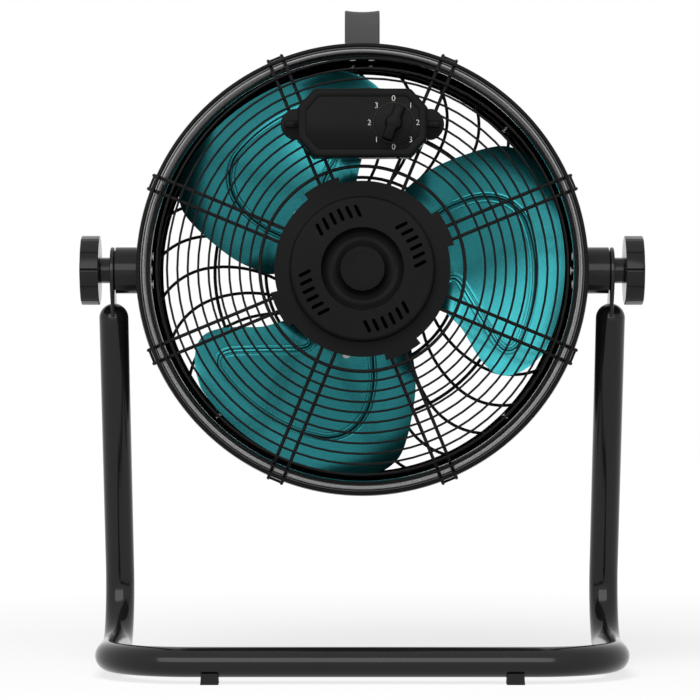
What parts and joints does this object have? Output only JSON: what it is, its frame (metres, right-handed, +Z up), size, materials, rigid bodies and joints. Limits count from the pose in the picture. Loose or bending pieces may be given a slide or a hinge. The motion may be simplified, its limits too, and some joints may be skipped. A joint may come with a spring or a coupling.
{
  "type": "industrial floor fan",
  "caption": "Drum fan head with wire guards and teal metal blades, tilting between the uprights of a bent tube floor stand, with hand clamps and a speed dial.",
  "frame": {"origin": "on the floor under the middle of the fan's overall box", "axes": "+Z up, +Y the way the air leaves, away from the motor and the control box, +X to the right seen from the intake side"},
  "size_m": [0.4866, 0.2506, 0.571],
  "materials": {
    "gloss_black_paint": "glossy black powder coat",
    "wire_coat": "satin black wire coating",
    "grey_paint": "satin grey-black paint",
    "teal_paint": "satin teal paint",
    "black_plastic": "matte moulded black plastic",
    "knob_plastic": "fine-textured black plastic",
    "foot_rubber": "soft black rubber",
    "zinc_steel": "zinc-plated steel",
    "cast_aluminium": "cast aluminium",
    "core_steel": "pressed laminations",
    "bearing_steel": "ground steel",
    "copper_wire": "enamelled copper wire",
    "fibre": "pressed fibre",
    "switch_plastic": "cream moulded plastic"
  },
  "bodies": {
    "stand": {"stand_tube": "gloss_black_paint", "front_left_foot": "foot_rubber", "front_right_foot": "foot_rubber", "rear_left_foot": "foot_rubber", "rear_right_foot": "foot_rubber", "foot_screws": "zinc_steel"},
    "head": {"drum": "gloss_black_paint", "left_pivot_boss": "black_plastic", "right_pivot_boss": "black_plastic", "boss_rivets": "zinc_steel", "left_washer": "fibre", "right_washer": "fibre", "carry_handle": "grey_paint", "handle_screws": "zinc_steel", "rear_guard_ribs": "wire_coat", "rear_guard_spiral": "wire_coat", "rear_guard_inner_ring": "wire_coat", "rear_guard_rim_ring": "wire_coat", "front_guard_spokes": "wire_coat", "front_guard_rings": "wire_coat", "front_guard_disc": "wire_coat", "front_guard_screws": "zinc_steel", "motor_plate": "gloss_black_paint", "motor_cover": "black_plastic", "motor_cap": "black_plastic", "cover_screws": "zinc_steel", "motor_rear_bell": "cast_aluminium", "motor_front_bell": "cast_aluminium", "motor_bolts": "zinc_steel", "stator_core": "core_steel", "stator_windings": "copper_wire", "rear_bearing": "bearing_steel", "front_bearing": "bearing_steel", "control_box": "black_plastic", "box_back_plate": "black_plastic", "box_clamps": "zinc_steel", "clamp_screws": "zinc_steel", "box_screws": "zinc_steel", "rotary_switch": "switch_plastic", "capacitor": "switch_plastic"},
    "fan": {"motor_shaft": "bearing_steel", "rotor_core": "core_steel", "fan_spider": "zinc_steel", "blade_1": "teal_paint", "blade_2": "teal_paint", "blade_3": "teal_paint", "blade_rivets": "zinc_steel", "hub_nut": "zinc_steel"},
    "dial": {"speed_knob": "knob_plastic", "knob_spindle": "zinc_steel"},
    "left_clamp": {"left_hand_knob": "knob_plastic", "left_clamp_bolt": "zinc_steel"},
    "right_clamp": {"right_hand_knob": "knob_plastic", "right_clamp_bolt": "zinc_steel"}
  },
  "joints": [
    {"name": "head_tilt", "type": "hinge", "parent": "stand", "child": "head", "pos_m": [0, -0.00467, 0.347], "axis": [1, 0, 0], "range_deg": [-90, 90]},
    {"name": "fan_spin", "type": "hinge", "parent": "head", "child": "fan", "pos_m": [0, -0.00467, 0.347], "axis": [0, 1, 0], "continuous": true},
    {"name": "dial_turn", "type": "hinge", "parent": "head", "child": "dial", "pos_m": [0.026, -0.09467, 0.4687], "axis": [0, 1, 0], "continuous": true},
    {"name": "left_clamp_turn", "type": "hinge", "parent": "head", "child": "left_clamp", "pos_m": [-0.23, -0.00467, 0.347], "axis": [-1, 0, 0], "range_deg": [0, 720]},
    {"name": "right_clamp_turn", "type": "hinge", "parent": "head", "child": "right_clamp", "pos_m": [0.23, -0.00467, 0.347], "axis": [1, 0, 0], "range_deg": [0, 720]}
  ]
}
